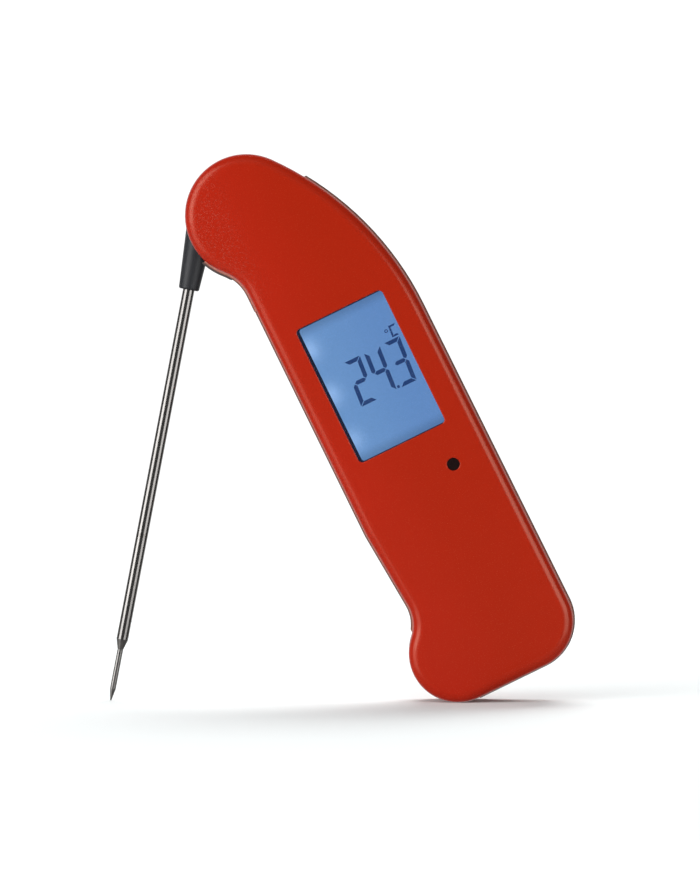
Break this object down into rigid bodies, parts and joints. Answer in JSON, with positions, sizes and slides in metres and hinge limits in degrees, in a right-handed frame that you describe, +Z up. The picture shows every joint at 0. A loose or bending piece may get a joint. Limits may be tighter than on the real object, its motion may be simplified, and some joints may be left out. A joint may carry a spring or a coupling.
{
  "type": "meat thermometer",
  "caption": "Folding-probe digital food thermometer standing on its tail and probe point, with a hinged steel probe, lit display and sealed case.",
  "frame": {"origin": "middle of the bounding box at the surface it stands on", "axes": "+Z up, +Y out of the back of the case, +X from the probe towards the case's tail"},
  "size_m": [0.1194, 0.019, 0.1401],
  "materials": {
    "red_abs": "fine spark-eroded satin",
    "seal_elastomer": "smooth matt",
    "dark_nylon": "satin moulded",
    "stainless_tube": "drawn and polished",
    "clear_acrylic": "clear polished",
    "lcd_glass": "lit blue",
    "black_foam": "matt foam",
    "white_abs": "satin moulded",
    "light_guide": "clear frosted",
    "led_package": "moulded",
    "strip_silicone": "matt",
    "dark_lens": "polished",
    "board_laminate": "solder resist",
    "chip_epoxy": "matt moulded",
    "battery_jacket": "gloss sleeve",
    "nickel_strip": "nickel plated",
    "turned_brass": "turned",
    "screw_steel": "zinc plated",
    "nickel_magnet": "nickel plated",
    "white_acetal": "slick moulded",
    "black_nitrile": "smooth",
    "sensor_alloy": "drawn wire"
  },
  "bodies": {
    "case": {"backlight": "light_guide", "backlight_leds": "led_package", "battery": "battery_jacket", "battery_contact": "nickel_strip", "battery_cover": "red_abs", "battery_cover_screw": "screw_steel", "battery_cover_seal": "black_nitrile", "battery_spring": "nickel_strip", "board_screws": "screw_steel", "case_screws": "screw_steel", "case_seal": "seal_elastomer", "circuit_board": "board_laminate", "contact_strip": "strip_silicone", "controller_chip": "chip_epoxy", "converter_chip": "chip_epoxy", "cover_screw_insert": "turned_brass", "display_window": "clear_acrylic", "fold_switch": "chip_epoxy", "front_case": "red_abs", "lcd_frame": "white_abs", "lcd_panel": "lcd_glass", "light_sensor_chip": "dark_lens", "light_sensor_lens": "dark_lens", "motion_sensor": "chip_epoxy", "pivot_washers": "white_acetal", "rear_case": "red_abs", "window_gasket": "black_foam"},
    "probe": {"probe_hub": "dark_nylon", "pivot_seals": "black_nitrile", "fold_magnet": "nickel_magnet", "probe_stem": "stainless_tube", "probe_tip": "stainless_tube", "thermocouple_wires": "sensor_alloy", "thermocouple_bead": "sensor_alloy"}
  },
  "joints": [
    {"name": "probe_fold", "type": "hinge", "parent": "case", "child": "probe", "pos_m": [-0.02439, 0, 0.12441], "axis": [0, 1, 0], "range_deg": [-36.9, 143.1]}
  ]
}
